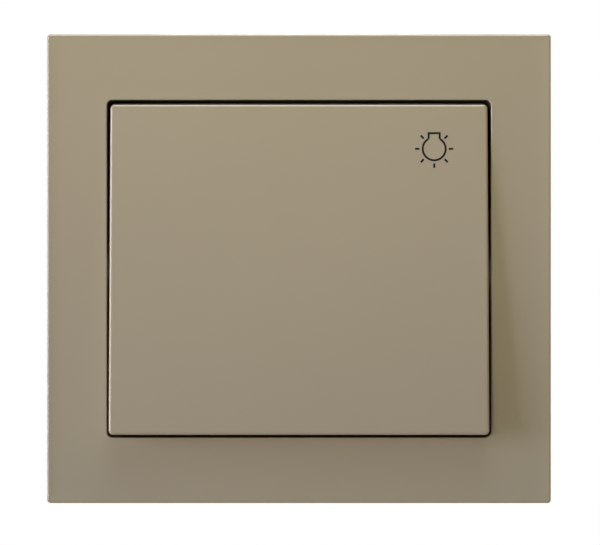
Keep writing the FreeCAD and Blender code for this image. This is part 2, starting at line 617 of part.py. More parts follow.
def make_support_ring():
    body = doc.addObject("PartDesign::Body", "ring_blank")
    pad(body, rectangle(body, "ring_outline", "ring_width", "ring_height"), "ring_thickness")
    doc.recompute()
    blank = body.Tip
    corners = [f"Edge{i}" for i, edge in enumerate(blank.Shape.Edges, 1)
               if edge.BoundBox.YLength > size("ring_thickness") / 2]
    chamfer = body.newObject("PartDesign::Chamfer", "ring_corners")
    chamfer.Base = (blank, corners)
    bind(chamfer, Size="ring_chamfer")
    aperture = rounded_rectangle(body, "ring_aperture", "plate_width + 2 * plate_clearance",
                                 "plate_height + 2 * plate_clearance", "plate_corner")
    pocket(body, aperture, "ring_thickness", reverse=True)
    for side, end in CORNERS:
        place = f"{SIDE_NAMES[side]}_{END_NAMES[end]}"
        notch = rectangle(body, f"lug_notch_{place}", "latch_width + 2 * ring_thickness",
                          "ring_end_edge", f"{side}latch_offset",
                          f"{end}(lug_outer + ring_end_edge / 2)")
        pocket(body, notch, "ring_thickness", reverse=True)
    slots = fastener_holes("ring_rivet_hole", "rivet_radius", "rivet_across", "rivet_along",
                           "0", "ring_thickness")
    lugs = []
    for side in "-+":
        middle = f"{side}box_screw_spacing / 2"
        half = "(box_slot_length - box_slot_width) / 2"
        name = f"box_slot_{SIDE_NAMES[side]}"
        slots.append(block(name, f"{middle} - {half}", f"{middle} + {half}", "0", "ring_thickness",
                           "-box_slot_width / 2", "box_slot_width / 2"))
        for end in "-+":
            slots.append(rod(f"{name}_{END_NAMES[end]}_end", "box_slot_width / 2",
                             f"{middle} {end} {half}", "0", "0", "ring_thickness"))
    for side, end in CORNERS:
        place = f"{SIDE_NAMES[side]}_{END_NAMES[end]}"
        left, right = f"{side}latch_offset - latch_width / 2", f"{side}latch_offset + latch_width / 2"
        outline = polygon(f"lug_outline_{place}", [
            ("0", f"{end}lug_inner"),
            ("0", f"{end}lug_outer"),
            ("-latch_level", f"{end}lug_outer"),
            ("-latch_level", f"{end}lug_inner"),
            ("-(barb_level + barb_height)", f"{end}lug_inner"),
            ("-barb_level", f"{end}(lug_inner - latch_clearance - barb_reach)"),
            ("-barb_level", f"{end}lug_inner"),
        ])
        lugs.append(extrusion(f"latch_lug_{place}", outline, left, right))
    return fuse("support_ring", [cut("ring_punched", body, slots)] + lugs)


def make_ring_rivets():
    """Four rivets through the ring and the housing's flange."""
    rivets = []
    for side, end in CORNERS:
        place = f"{SIDE_NAMES[side]}_{END_NAMES[end]}"
        x, z = f"{side}rivet_across", f"{end}rivet_along"
        front, back = "ring_thickness", "-flange_thickness"
        rivets.append(fuse(f"rivet_{place}", [
            post(f"rivet_shank_{place}", "rivet_radius", x, z, back, front),
            post(f"rivet_head_{place}", "rivet_head_radius", x, z, front,
                 f"{front} + rivet_head_height"),
            post(f"rivet_tail_{place}", "rivet_head_radius", x, z,
                 f"{back} - rivet_head_height", back),
        ]))
    return group("ring_rivets", rivets)


# Housing: one moulding with a contact chamber, two terminal pockets and a spring well.

def make_base_housing():
    body = doc.addObject("PartDesign::Body", "base_moulding")
    outline = rounded_rectangle(body, "base_outline", "base_width", "base_height", "base_corner")
    pad(body, outline, "base_depth", reverse=True)
    flange = rounded_rectangle(body, "base_flange",
                               "2 * (rivet_across + rivet_head_radius + flange_edge)",
                               "2 * (rivet_along + rivet_head_radius + flange_edge)", "base_corner")
    pad(body, flange, "flange_thickness", reverse=True)
    for side in "-+":
        recess = rectangle(body, f"side_recess_{SIDE_NAMES[side]}", "side_recess_depth",
                           "side_recess_width", f"{side}(base_width - side_recess_depth) / 2",
                           level="-base_depth")
        pocket(body, recess, "base_depth - side_recess_start", reverse=True)
    mouth = rounded_rectangle(body, "base_mouth", "plate_width + 2 * plate_clearance",
                              "plate_height + 2 * plate_clearance", "plate_corner")
    pocket(body, mouth, "-plate_back")
    chamber = rectangle(body, "contact_chamber", "2 * terminal_offset + pocket_width",
                        "chamber_foot - pocket_foot", z="-(chamber_foot + pocket_foot) / 2")
    pocket(body, chamber, "chamber_floor")
    well = circle(body, "spring_well", "well_radius", z="-plunger_offset")
    pocket(body, well, "well_floor")
    for side in "-+":
        name = SIDE_NAMES[side]
        terminal = rectangle(body, f"terminal_pocket_{name}", "pocket_width",
                             "pocket_top + pocket_foot", f"{side}terminal_offset",
                             "(pocket_top - pocket_foot) / 2")
        pocket(body, terminal, "pocket_floor")
        window = rectangle(body, f"release_window_{name}", "release_width + 2 * release_clearance",
                           "release_height + 2 * release_clearance", f"{side}terminal_offset",
                           "release_level", "-base_depth")
        pocket(body, window, "rear_wall", reverse=True)
        for end in "-+":
            hole = circle(body, f"wire_entry_{name}_{END_NAMES[end]}", "wire_radius",
                          f"{side}terminal_offset {end} wire_spacing / 2", "-wire_level",
                          "-base_depth")
            pocket(body, hole, "rear_wall", reverse=True)
    floor, foot = size("chamber_floor"), size("pocket_foot")
    round_edges(body, "strip_corners", "strip_bend + touch_gap",
                lambda edge: at_level(edge, -floor) and abs(edge.BoundBox.ZMin + foot) < 1e-4
                and abs(edge.BoundBox.ZMax + foot) < 1e-4
                and edge.BoundBox.XMin * edge.BoundBox.XMax > 0)
    holes = fastener_holes("base_rivet_hole", "rivet_radius", "rivet_across", "rivet_along",
                           "-flange_thickness", "0")
    holes += fastener_holes("base_screw_hole", "screw_radius", "screw_across", "screw_along",
                            "plate_front - screw_length - touch_gap", "plate_back")
    return cut("base_housing", body, holes)


# Bearing plate: closes the housing's front, guides the plunger and carries the trunnions.

def make_bearing_plate():
    body = doc.addObject("PartDesign::Body", "plate_moulding")
    outline = rounded_rectangle(body, "plate_outline", "plate_width", "plate_height",
                                "plate_corner", level="plate_back")
    pad(body, outline, "plate_thickness")
    guide = rectangle(body, "plunger_guide", "plunger_size + 2 * plunger_clearance + 2 * guide_wall",
                      "plunger_size + 2 * plunger_clearance + 2 * guide_wall", z="-plunger_offset",
                      level="plate_front")
    pad(body, guide, "guide_level - plate_front")
    for side in "-+":
        name = SIDE_NAMES[side]
        middle = f"{side}(cheek_inner + cheek_outer) / 2"
        foot = rectangle(body, f"cheek_foot_{name}", "cheek_thickness", "cheek_foot", middle,
                         level="plate_front")
        pad(body, foot, "cheek_foot_level - plate_front")
        upright = rectangle(body, f"cheek_{name}", "cheek_thickness", "2 * cheek_radius", middle,
                            level="plate_front")
        pad(body, upright, "pivot_height - plate_front")
        start = "cheek_inner" if side == "+" else "-cheek_outer"
        end = circle(body, f"cheek_end_{name}", "cheek_radius", "-pivot_height", "0", start, "YZ_Plane")
        pad(body, end, "cheek_thickness")
    bearing = circle(body, "bearing_hole", "trunnion_radius + bearing_clearance", "-pivot_height",
                     role="YZ_Plane")
    pocket(body, bearing, "plate_width", both=True)
    hole = rectangle(body, "plunger_hole", "plunger_size + 2 * plunger_clearance",
                     "plunger_size + 2 * plunger_clearance", z="-plunger_offset", level="guide_level")
    pocket(body, hole, "guide_level - plate_back")
    return cut("bearing_plate", body, fastener_holes("plate_screw_hole", "screw_radius", "screw_across",
                                                     "screw_along", "plate_back", "plate_front"))


def make_plate_screws():
    """Four screws that hold the bearing plate to the housing."""
    screws = []
    for side, end in CORNERS:
        place = f"{SIDE_NAMES[side]}_{END_NAMES[end]}"
        x, z = f"{side}screw_across", f"{end}screw_along"
        screws.append(fuse(f"screw_{place}", [
            post(f"screw_shank_{place}", "screw_radius", x, z, "plate_front - screw_length",
                 "plate_front"),
            post(f"screw_head_{place}", "screw_head_radius", x, z, "plate_front",
                 "plate_front + screw_head_height"),
        ]))
    return group("plate_screws", screws)


# Plunger and contacts: the nose presses the plunger, which presses the bridge onto the fixed contacts.

def make_plunger():
    half = "plunger_size / 2"
    flange = f"({half} + plunger_flange_reach)"
    head = block("plunger_head", f"-{half}", half, "-bridge_level", "plunger_front",
                 f"-plunger_offset - {half}", f"-plunger_offset + {half}")
    stop = block("plunger_stop", f"-{flange}", flange, "plate_back - touch_gap - plunger_flange",
                 "plate_back - touch_gap", f"-plunger_offset - {flange}", f"-plunger_offset + {flange}")
    stem = rod("plunger_pin", "plunger_stem", "0", "-plunger_offset",
               "-bridge_level - plunger_stem_length", "-bridge_level")
    return fuse("plunger", [head, stop, stem])


def make_contact_bridge():
    half = "(terminal_offset + bridge_end)"
    strip = block("bridge_strip", f"-{half}", half, "-bridge_back", "-bridge_level",
                  "-plunger_offset - bridge_width / 2", "-plunger_offset + bridge_width / 2")
    hole = rod("bridge_hole", "plunger_stem + plunger_clearance", "0", "-plunger_offset",
               "-bridge_back", "-bridge_level")
    return cut("contact_bridge", strip, [hole])


def make_bridge_contacts():
    return group("bridge_contacts", [
        post(f"bridge_contact_{SIDE_NAMES[side]}", "contact_radius", f"{side}terminal_offset",
             "-plunger_offset", "-bridge_back - contact_height", "-bridge_back")
        for side in "-+"])


def bent_strip(name, route, bend, thickness, left, width):
    """A strip that follows a route of depths and heights, with round bends at its inner points."""
    points = [Vector(0, depth, height) for depth, height in route]
    edges, start = [], points[0]
    for before, corner, after in zip(points, points[1:], points[2:]):
        inward, onward = (corner - before).normalize(), (after - corner).normalize()
        half_turn = inward.getAngle(onward) / 2
        reach = bend * math.tan(half_turn)
        first, last = corner - inward * reach, corner + onward * reach
        middle_way = (onward - inward).normalize()
        middle = corner + middle_way * (bend / math.cos(half_turn) - bend)
        edges.append(Part.LineSegment(start, first).toShape())
        edges.append(Part.Arc(first, middle, last).toShape())
        start = last
    edges.append(Part.LineSegment(start, points[-1]).toShape())
    heading = (points[1] - points[0]).normalize()
    across = heading.cross(Vector(1, 0, 0)) * (thickness / 2)
    ends = [points[0] - across, points[0] + across]
    section = Part.makePolygon([
        ends[0], ends[1], ends[1] + Vector(width, 0, 0), ends[0] + Vector(width, 0, 0), ends[0]])
    strip = doc.addObject("Part::Feature", name)
    strip.Shape = Part.Wire(edges).makePipeShell([section], True, False)
    strip.Placement = Placement(Vector(left, 0, 0), Rotation())
    return strip


def make_fixed_contact():
    """The left strip: a pad on the chamber's floor and a leg down the terminal pocket."""
    half = size("strip_thickness") / 2
    floor = size("strip_front") + half
    leg = -size("pocket_foot") + half
    route = [
        (floor, -size("plunger_offset") - size("bridge_end")),
        (floor, leg),
        (size("pocket_floor") - size("strip_end_air"), leg),
    ]
    left = -size("terminal_offset") - size("strip_width") / 2
    return bent_strip("fixed_contact_left", route, size("strip_bend") + half,
                      size("strip_thickness"), left, size("strip_width"))


def make_contact_tip():
    return post("fixed_contact_tip_left", "contact_radius", "-terminal_offset", "-plunger_offset",
                "-strip_front", "-tip_front")


def make_return_spring():
    """A coil between the bridge and the floor of its well, wound in straight steps."""
    wire, radius = size("spring_wire"), size("spring_radius")
    start = size("bridge_back") + wire + size("touch_gap")
    length = size("well_floor") - wire - size("touch_gap") - start
    steps = round(size("spring_turns") * size("spring_steps"))
    turn = 2 * math.pi / size("spring_steps")
    route = [Vector(radius * math.cos(turn * i), start + length * i / steps, radius * math.sin(turn * i))
             for i in range(steps + 1)]
    heading = (route[1] - route[0]).normalize()
    rim = heading.cross(Vector(0, 1, 0)).normalize() * wire
    section = [route[0] + Rotation(heading, 60 * i).multVec(rim) for i in range(7)]
    spring = doc.addObject("Part::Feature", "return_spring")
    spring.Shape = Part.makePolygon(route).makePipeShell([Part.makePolygon(section)], True, False, 1)
    spring.Placement = Placement(Vector(0, 0, -size("plunger_offset")), Rotation())
    return spring


# Push-in terminals: two clamp springs on each contact strip, with a button that opens both.

def make_clamp_spring(number, middle):
    back, loop = size("leaf_back"), size("leaf_loop")
    face = -size("strip_face") + size("touch_gap")
    route = [
        (size("leaf_start"), face),
        (size("leaf_start"), back),
        (loop, back),
        (loop, back - size("leaf_loop_width")),
        (size("leaf_tip"), face + size("leaf_tip_air")),
    ]
    left = middle - size("leaf_width") / 2
    return bent_strip(f"clamp_spring_{number}", route, size("leaf_bend"), size("leaf_thickness"),
                      left, size("leaf_width"))


def make_release_button():
    """The left button: its end slopes along the clamp springs' tongues."""
    rise = "(leaf_loop - leaf_tip)"
    run = "(leaf_back - leaf_loop_width + strip_face - touch_gap - leaf_tip_air)"
    air = f"(leaf_thickness / 2 * sqrt(1 + ({rise} / {run}) ^ 2) + release_tip_air)"
    tip = f"leaf_loop - (leaf_back - leaf_loop_width - {{}}) * {rise} / {run} + {air}"
    outline = polygon("release_outline", [
        (tip.format("release_foot"), "release_foot"),
        ("base_depth + release_proud", "release_foot"),
        ("base_depth + release_proud", "release_top"),
        (tip.format("release_top"), "release_top"),
    ])
    left, right = "-terminal_offset - release_width / 2", "-terminal_offset + release_width / 2"
    button = extrusion("release_slider", outline, left, right)
    reach = "release_shoulder_reach"
    shoulder = block("release_stop", f"{left} - {reach}", f"{right} + {reach}",
                     "-(pocket_floor - touch_gap)", "-(pocket_floor - touch_gap - release_shoulder)",
                     f"release_foot - {reach}", f"release_top + {reach}")
    return fuse("release_button_left", [button, shoulder])


parts = [
    make_cover_frame(),
    make_rocker(),
    make_rocker_cradle(),
    make_support_ring(),
    make_ring_rivets(),
    make_base_housing(),
    make_bearing_plate(),
    make_plate_screws(),
    make_plunger(),
    make_contact_bridge(),
    make_bridge_contacts(),
    make_return_spring(),
]
for left_piece in (make_fixed_contact(), make_contact_tip(), make_release_button()):
    parts += [left_piece, mirrored(left_piece.Name.replace("left", "right"), left_piece)]
wires = [side * size("terminal_offset") + end * size("wire_spacing") / 2
         for side in (-1, 1) for end in (-1, 1)]
parts += [make_clamp_spring(number, x) for number, x in enumerate(wires, 1)]

doc.recompute()
for thing in doc.Objects:
    if "Invalid" in thing.State or "Error" in thing.State:
        raise RuntimeError(f"{thing.Name} failed: {thing.State}")
    if thing.TypeId == "PartDesign::Pocket":
        if thing.Shape.Volume >= thing.BaseFeature.Shape.Volume:
            raise RuntimeError(f"{thing.Name} cuts nothing")
for part in parts:
    part.Label = part.Name
    if part.Shape.isNull() or not part.Shape.isValid():
        raise RuntimeError(f"{part.Label} has no sound shape")

os.makedirs("parts", exist_ok=True)
for part in parts:
    part.Shape.exportStep(f"parts/{part.Label}.step")
print(f"press travel of the plunger {size('plunger_travel'):.4f} mm")
print(f"{len(parts)} sub-parts")
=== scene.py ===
import json
import math

import bpy
from mathutils import Matrix, Vector


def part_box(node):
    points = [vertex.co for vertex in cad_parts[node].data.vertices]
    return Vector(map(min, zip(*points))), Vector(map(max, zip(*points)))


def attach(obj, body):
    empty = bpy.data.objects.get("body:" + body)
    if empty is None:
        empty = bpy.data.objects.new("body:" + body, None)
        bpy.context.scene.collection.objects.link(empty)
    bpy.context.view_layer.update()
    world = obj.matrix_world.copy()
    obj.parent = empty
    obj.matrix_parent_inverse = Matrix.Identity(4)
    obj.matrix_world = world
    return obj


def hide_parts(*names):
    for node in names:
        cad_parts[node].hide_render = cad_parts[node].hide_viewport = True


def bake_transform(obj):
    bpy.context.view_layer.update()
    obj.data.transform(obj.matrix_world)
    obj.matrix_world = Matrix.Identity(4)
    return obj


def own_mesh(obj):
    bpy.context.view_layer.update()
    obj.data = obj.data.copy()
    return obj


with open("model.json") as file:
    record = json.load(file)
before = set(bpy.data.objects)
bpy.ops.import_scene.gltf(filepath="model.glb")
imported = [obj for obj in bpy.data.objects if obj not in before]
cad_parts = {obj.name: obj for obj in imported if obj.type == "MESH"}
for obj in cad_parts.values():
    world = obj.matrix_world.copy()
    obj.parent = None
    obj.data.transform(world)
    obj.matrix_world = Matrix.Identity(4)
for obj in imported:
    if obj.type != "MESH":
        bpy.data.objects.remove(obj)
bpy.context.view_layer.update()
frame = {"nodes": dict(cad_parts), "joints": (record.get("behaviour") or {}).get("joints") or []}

# Base housing: the moulded box that sits in the wall box and holds the contacts.
# It is light grey polyamide with a spark-eroded mould texture, a dull even grain.

MM = 0.001
CLOUD_SIZE = 9 * MM
GRAIN_SIZE = 0.3 * MM  # the real grain is about a third of this, too fine to show
GRAIN_HEIGHT = 0.02 * MM
GRAIN_SPREAD = 0.08


def linear(colour):
    """An sRGB hex colour as a linear one."""
    channels = [int(colour[i:i + 2], 16) / 255 for i in (1, 3, 5)]
    return [c / 12.92 if c <= 0.04045 else ((c + 0.055) / 1.055) ** 2.4 for c in channels] + [1.0]


def add_node(tree, kind, inputs, **settings):
    """A node with its settings, its numbers and the sockets that feed it."""
    node = tree.nodes.new(kind)
    for name, value in settings.items():
        setattr(node, name, value)
    for name, value in inputs.items():
        if isinstance(value, bpy.types.NodeSocket):
            tree.links.new(value, node.inputs[name])
        else:
            node.inputs[name].default_value = value
    return node


def new_material(name, **constants):
    """A material with numbers on its shader, and what a pattern on it starts from."""
    material = bpy.data.materials.new(name)
    material.use_nodes = True
    tree = material.node_tree
    shader = tree.nodes["Principled BSDF"]
    for socket, value in constants.items():
        shader.inputs[socket.replace("_", " ")].default_value = value
    place = add_node(tree, "ShaderNodeTexCoord", {}).outputs["Object"]
    return material, tree, shader, place


def pattern(tree, shader, hue, first, second, gloss, smooth, rough):
    """A base colour between two colours after one pattern, and a roughness after another."""
    mix = add_node(tree, "ShaderNodeMix", {"Factor": hue, "A": linear(first), "B": linear(second)},
                   data_type="RGBA")
    spread = add_node(tree, "ShaderNodeMapRange", {"Value": gloss, "To Min": smooth, "To Max": rough})
    tree.links.new(mix.outputs["Result"], shader.inputs["Base Color"])
    tree.links.new(spread.outputs["Result"], shader.inputs["Roughness"])


def dress(material, *nodes):
    """Gives CAD nodes their material."""
    for node in nodes:
        frame["nodes"][node].material_slots[0].material = material


def moulded_plastic(name, first, second, roughness, ior=1.5):
    """Plastic from a textured mould: a fine grain, and a faint cloud from the melt's flow."""
    material, tree, shader, place = new_material(name, IOR=ior)
    cloud = add_node(tree, "ShaderNodeTexNoise", {
        "Vector": place, "Scale": 1 / CLOUD_SIZE, "Detail": 3.0})
    grain = add_node(tree, "ShaderNodeTexNoise", {
        "Vector": place, "Scale": 1 / GRAIN_SIZE, "Detail": 2.0})
    pattern(tree, shader, cloud.outputs["Fac"], first, second,
            grain.outputs["Fac"], roughness - GRAIN_SPREAD, roughness + GRAIN_SPREAD)
    bump = add_node(tree, "ShaderNodeBump", {
        "Height": grain.outputs["Fac"], "Distance": GRAIN_HEIGHT, "Strength": 0.5})
    tree.links.new(bump.outputs["Normal"], shader.inputs["Normal"])
    return material


housing_polyamide = moulded_plastic("housing_polyamide", "#c6c5c0", "#d2d1cc", 0.5)
dress(housing_polyamide, "base_housing")

# Contact strips: two strips cut and bent from rolled brass sheet, let into the housing.
# The rolls leave fine streaks along the strip. Silver alloy tips are welded on.

STREAK_WIDTH = 0.4 * MM  # coarser than the real lines, so that they show
STREAK_SPREAD = 0.07


def rolled_metal(name, first, second, roughness, streaks):
    """Rolled sheet or drawn wire: streaks, longer along one axis than the others."""
    material, tree, shader, place = new_material(name, Metallic=1.0)
    drawn = add_node(tree, "ShaderNodeMapping", {"Vector": place, "Scale": streaks})
    line = add_node(tree, "ShaderNodeTexNoise", {
        "Vector": drawn.outputs["Vector"], "Scale": 1 / STREAK_WIDTH, "Detail": 3.0})
    pattern(tree, shader, line.outputs["Fac"], first, second,
            line.outputs["Fac"], roughness - STREAK_SPREAD, roughness + STREAK_SPREAD)
    return material


strip_brass = rolled_metal("strip_brass", "#c9a557", "#dbb96c", 0.3, (1.0, 0.05, 0.05))
tip_silver = rolled_metal("tip_silver", "#d6d5d0", "#e4e3df", 0.32, (1.0, 1.0, 1.0))
dress(strip_brass, "fixed_contact_left", "fixed_contact_right")
dress(tip_silver, "fixed_contact_tip_left", "fixed_contact_tip_right")

# Push-in terminals: bent leaf springs of bright spring steel that clamp the wires, and two orange
# polyamide buttons in the rear wall that open them. On the real switch each spring's tongue bends
# inwards with its button while the rest stays; here the tongue is a piece of its own, cut across in
# steps along its bend, but it is not joined to its button.

TONGUE_DROP = 1.2 * MM
TONGUE_OFF_FOOT = 2.0 * MM
TONGUE_BEND = 4.2 * MM
TONGUE_STEPS = 9
MERGE_WITHIN = 0.001 * MM
SMOOTH_ANGLE = math.radians(35)


def start_piece():
    """Nothing selected, before the next piece is added."""
    bpy.ops.object.select_all(action="DESELECT")


def take(*pieces):
    """Only these pieces selected, the first of them active."""
    start_piece()
    for piece in pieces:
        piece.select_set(True)
    bpy.context.view_layer.objects.active = pieces[0]


def edit_all(piece):
    """A piece in edit mode by itself, with all of it selected."""
    take(piece)
    bpy.ops.object.mode_set(mode="EDIT")
    bpy.ops.mesh.select_all(action="SELECT")


def merged_copy(node):
    """A copy of a CAD node with its loose triangles merged, left in edit mode."""
    piece = bpy.data.objects.new(node, frame["nodes"][node].data.copy())
    bpy.context.collection.objects.link(piece)
    edit_all(piece)
    bpy.ops.mesh.remove_doubles(threshold=MERGE_WITHIN)
    return piece


def cut_across(place, direction):
    """Cuts the piece in edit mode along a plane, and leaves both sides."""
    bpy.ops.mesh.select_all(action="SELECT")
    bpy.ops.mesh.bisect(plane_co=place, plane_no=direction)


def pick_faces(piece, wanted):
    """Selects those faces in edit mode that the test picks by their middle and direction."""
    bpy.ops.mesh.select_mode(type="FACE")
    bpy.ops.mesh.select_all(action="DESELECT")
    bpy.ops.object.mode_set(mode="OBJECT")
    for face in piece.data.polygons:
        face.select = wanted(face.center, face.normal)
    bpy.ops.object.mode_set(mode="EDIT")


def settle(piece, name, material):
    """Puts a piece's place into its mesh, and gives it its name and finish."""
    take(piece)
    bpy.ops.object.transform_apply(location=True, rotation=True, scale=True)
    bpy.ops.object.shade_smooth_by_angle(angle=SMOOTH_ANGLE)
    piece.name = name
    piece.data.name = name
    piece.data.materials.clear()
    piece.data.materials.append(material)


spring_strip = rolled_metal("spring_strip", "#a9a9a6", "#bdbdba", 0.26, (1.0, 0.05, 0.05))
release_polyamide = moulded_plastic("release_polyamide", "#d6651f", "#de7029", 0.42)
dress(release_polyamide, "release_button_left", "release_button_right")
buttons = ("release_left", "release_left", "release_right", "release_right")
for number, button in enumerate(buttons, 1):
    node = f"clamp_spring_{number}"
    low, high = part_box(node)
    top = Vector(((low.x + high.x) / 2, high.y, high.z - TONGUE_DROP))
    bent = top - Vector((0, 0, TONGUE_BEND))
    strip = merged_copy(node)
    cut_across(top, (0, 0, 1))
    pick_faces(strip, lambda middle, normal: middle.z < top.z and middle.y > low.y + TONGUE_OFF_FOOT)
    bpy.ops.mesh.separate(type="SELECTED")
    bpy.ops.object.mode_set(mode="OBJECT")
    tongue = [piece for piece in bpy.context.selected_objects if piece != strip][0]
    for piece in (strip, tongue):
        edit_all(piece)
        bpy.ops.mesh.fill_holes(sides=0)
        if piece == tongue:
            for step in range(1, TONGUE_STEPS + 1):
                cut_across(top.lerp(bent, step / TONGUE_STEPS), (0, 0, 1))
        bpy.ops.object.mode_set(mode="OBJECT")
    settle(strip, f"clamp_strip_{number}", spring_strip)
    settle(tongue, f"clamp_tongue_{number}", spring_strip)
    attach(strip, "insert")
    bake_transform(tongue)
    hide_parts(node)
    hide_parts(node)

# Return spring: four turns of round spring wire between the contact bridge and the floor of its
# well. It is wound from drawn wire. On the real switch it shortens as the plunger goes in; here it
# keeps one length.

WIRE_RADIUS = 0.35 * MM
WIRE_SIDES = 10
COIL_TURNS = 4
COIL_STEPS = 28


def joint_named(name):
    """The record's joint of that name."""
    return next(joint for joint in frame["joints"] if joint["name"] == name)


def shape_up(piece, kind, **settings):
    """A modifier on a piece, applied at once."""
    modifier = piece.modifiers.new(kind.lower(), kind)
    for name, value in settings.items():
        setattr(modifier, name, value)
    bpy.context.view_layer.objects.active = piece
    bpy.ops.object.modifier_apply(modifier=modifier.name)


low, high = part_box("return_spring")
coil_radius = (high.x - low.x) / 2 - WIRE_RADIUS
coil_length = high.y - low.y - 2 * WIRE_RADIUS
start_piece()
bpy.ops.mesh.primitive_circle_add(vertices=WIRE_SIDES, radius=WIRE_RADIUS,
                                  location=(coil_radius, 0, 0))
coil = bpy.context.object
bpy.ops.object.transform_apply(location=True)
shape_up(coil, "SCREW", axis="Y", angle=2 * math.pi, screw_offset=coil_length / COIL_TURNS,
         iterations=COIL_TURNS, steps=COIL_STEPS, render_steps=COIL_STEPS)
edit_all(coil)
bpy.ops.mesh.remove_doubles(threshold=MERGE_WITHIN)
bpy.ops.mesh.fill_holes(sides=0)
bpy.ops.mesh.select_all(action="SELECT")
bpy.ops.mesh.normals_make_consistent(inside=False)
bpy.ops.object.mode_set(mode="OBJECT")
coil.location = (0, low.y + WIRE_RADIUS, (low.z + high.z) / 2)
spring_wire = rolled_metal("spring_wire", "#a4a4a2", "#bababa", 0.28, (1.0, 0.3, 1.0))
settle(coil, "return_coil", spring_wire)
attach(coil, "insert")
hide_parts("return_spring")
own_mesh(coil)

# Contact bridge and plunger: a brass bridge with two silver contacts, pressed onto the fixed
# contacts by a white acetal plunger, which is moulded smooth so that it slides.

white_acetal = moulded_plastic("white_acetal", "#dddcd6", "#e6e5e0", 0.36)
dress(strip_brass, "contact_bridge")
dress(tip_silver, "bridge_contacts")
dress(white_acetal, "plunger")

# Bearing plate: closes the housing's front and carries the rocker's two bearing cheeks.
# It is moulded in mid grey polyamide.

plate_polyamide = moulded_plastic("plate_polyamide", "#96989a", "#a1a3a5", 0.5)
dress(plate_polyamide, "bearing_plate")

# Plate screws: four zinc plated steel screws with cylinder heads and cross recesses, turned and
# rolled, which hold the bearing plate to the housing.

SCREW_SIDES = 28
SCREW_HEAD_RADIUS = 1.9 * MM
SCREW_HEAD_HEIGHT = 1.2 * MM
SCREW_RADIUS = 1.0 * MM
SCREW_RIM = 0.3 * MM
RECESS_LENGTH = 2.4 * MM
RECESS_WIDTH = 0.55 * MM
RECESS_DEPTH = 0.7 * MM
ON_PLANE = 0.01 * MM


def pick_edges(piece, wanted):
    """Selects those edges in edit mode whose two ends the test picks."""
    bpy.ops.mesh.select_mode(type="EDGE")
    bpy.ops.mesh.select_all(action="DESELECT")
    bpy.ops.object.mode_set(mode="OBJECT")
    points = piece.data.vertices
    for edge in piece.data.edges:
        edge.select = all(wanted(points[index].co) for index in edge.vertices)
    bpy.ops.object.mode_set(mode="EDIT")


def headed_pin(sides, head_radius, head_height, pin_radius, pin_length):
    """A round head in front of the plane y = 0 with its pin behind, left in edit mode."""
    start_piece()
    bpy.ops.mesh.primitive_cylinder_add(
        vertices=sides, radius=head_radius, depth=head_height, rotation=(math.radians(90), 0, 0),
        location=(0, -head_height / 2, 0))
    pin = bpy.context.object
    bpy.ops.object.transform_apply(location=True, rotation=True)
    bpy.ops.object.mode_set(mode="EDIT")
    pick_faces(pin, lambda middle, normal: normal.y > 0.9)
    bpy.ops.mesh.inset(thickness=head_radius - pin_radius)
    bpy.ops.mesh.extrude_region_move(TRANSFORM_OT_translate={"value": (0, pin_length, 0)})
    return pin


def four_copies(piece, across, along):
    """One piece in each corner, joined."""
    master = piece.data.copy()
    pieces = [piece]
    for _ in range(3):
        copy = bpy.data.objects.new("copy", master.copy())
        bpy.context.collection.objects.link(copy)
        pieces.append(copy)
    for copy, (side, end) in zip(pieces, [(-1, -1), (-1, 1), (1, -1), (1, 1)]):
        copy.location = (side * across, piece.location.y, end * along)
    take(*pieces)
    bpy.ops.object.join()
    bpy.data.meshes.remove(master)


low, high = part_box("plate_screws")
screw = headed_pin(SCREW_SIDES, SCREW_HEAD_RADIUS, SCREW_HEAD_HEIGHT, SCREW_RADIUS,
                   high.y - low.y - SCREW_HEAD_HEIGHT)
pick_edges(screw, lambda point: point.y < -SCREW_HEAD_HEIGHT + ON_PLANE)
bpy.ops.mesh.bevel(offset=SCREW_RIM, segments=3)
bpy.ops.object.mode_set(mode="OBJECT")
for size in ((RECESS_LENGTH, RECESS_WIDTH), (RECESS_WIDTH, RECESS_LENGTH)):
    start_piece()
    bpy.ops.mesh.primitive_cube_add(size=1.0, location=(0, -SCREW_HEAD_HEIGHT, 0))
    groove = bpy.context.object
    groove.scale = (size[0], 2 * RECESS_DEPTH, size[1])
    bpy.ops.object.transform_apply(scale=True)
    shape_up(screw, "BOOLEAN", operation="DIFFERENCE", object=groove)
    bpy.data.objects.remove(groove)
screw.location.y = low.y + SCREW_HEAD_HEIGHT
four_copies(screw, high.x - SCREW_HEAD_RADIUS, high.z - SCREW_HEAD_RADIUS)
zinc_plate = rolled_metal("zinc_plate", "#b9bbb8", "#cbccc6", 0.33, (1.0, 1.0, 1.0))
settle(screw, "cross_screws", zinc_plate)
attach(screw, "insert")
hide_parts("plate_screws")

# Rocker cradle: the white acetal carrier that turns in the bearing cheeks. The rocker snaps onto
# it, and its nose presses the plunger.

dress(white_acetal, "rocker_cradle")

# Support ring: punched and bent from 1 mm hot-dip galvanised sheet, with lugs that latch the
# frame. The zinc freezes in flat crystals a few millimetres wide, each with its own grey.

SPANGLE_SIZE = 3.5 * MM
galvanised_sheet, tree, shader, place = new_material("galvanised_sheet", Metallic=1.0)
spangle = add_node(tree, "ShaderNodeTexVoronoi", {"Vector": place, "Scale": 1 / SPANGLE_SIZE})
crystal = add_node(tree, "ShaderNodeSeparateColor", {"Color": spangle.outputs["Color"]})
pattern(tree, shader, crystal.outputs["Red"], "#8f9396", "#a9adaf", crystal.outputs["Green"], 0.4, 0.55)
dress(galvanised_sheet, "support_ring")

# Ring rivets: four zinc plated steel rivets, headed at both ends, that hold the housing's flange
# to the ring.

RIVET_SIDES = 28
RIVET_RADIUS = 1.1 * MM
RIVET_HEAD_RADIUS = 2.0 * MM
RIVET_HEAD_HEIGHT = 0.7 * MM
RIVET_RIM = 0.5 * MM

